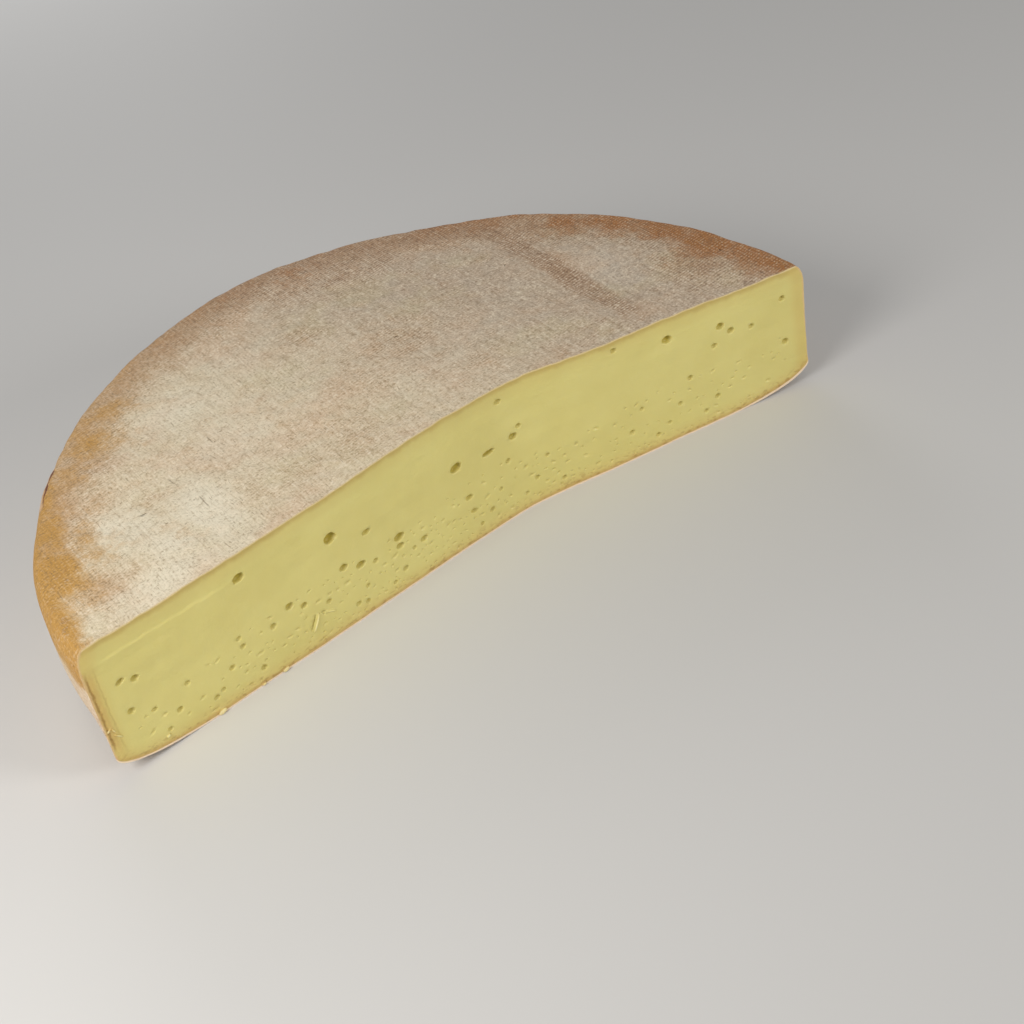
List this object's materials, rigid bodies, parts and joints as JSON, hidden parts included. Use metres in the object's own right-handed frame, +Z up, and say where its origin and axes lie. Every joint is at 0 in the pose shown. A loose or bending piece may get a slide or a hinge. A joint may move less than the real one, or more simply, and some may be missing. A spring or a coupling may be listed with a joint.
{
  "type": "raclette cheese half wheel",
  "caption": "Half wheel of semi-hard raclette cheese with a pale washed rind on its top and round rim, a yellow cut face with scattered small eyes, and a flat base.",
  "frame": {"origin": "centre of the bounding box, on the flat base", "axes": "+X along the cut from its longer left part to its shorter right part, +Y towards the round rim, +Z up"},
  "size_m": [0.316, 0.171, 0.0595],
  "materials": {
    "cheese": "semi-matte cut paste under a dry woven-marked rind"
  },
  "bodies": {
    "root": {"half_wheel": "cheese"}
  },
  "joints": []
}
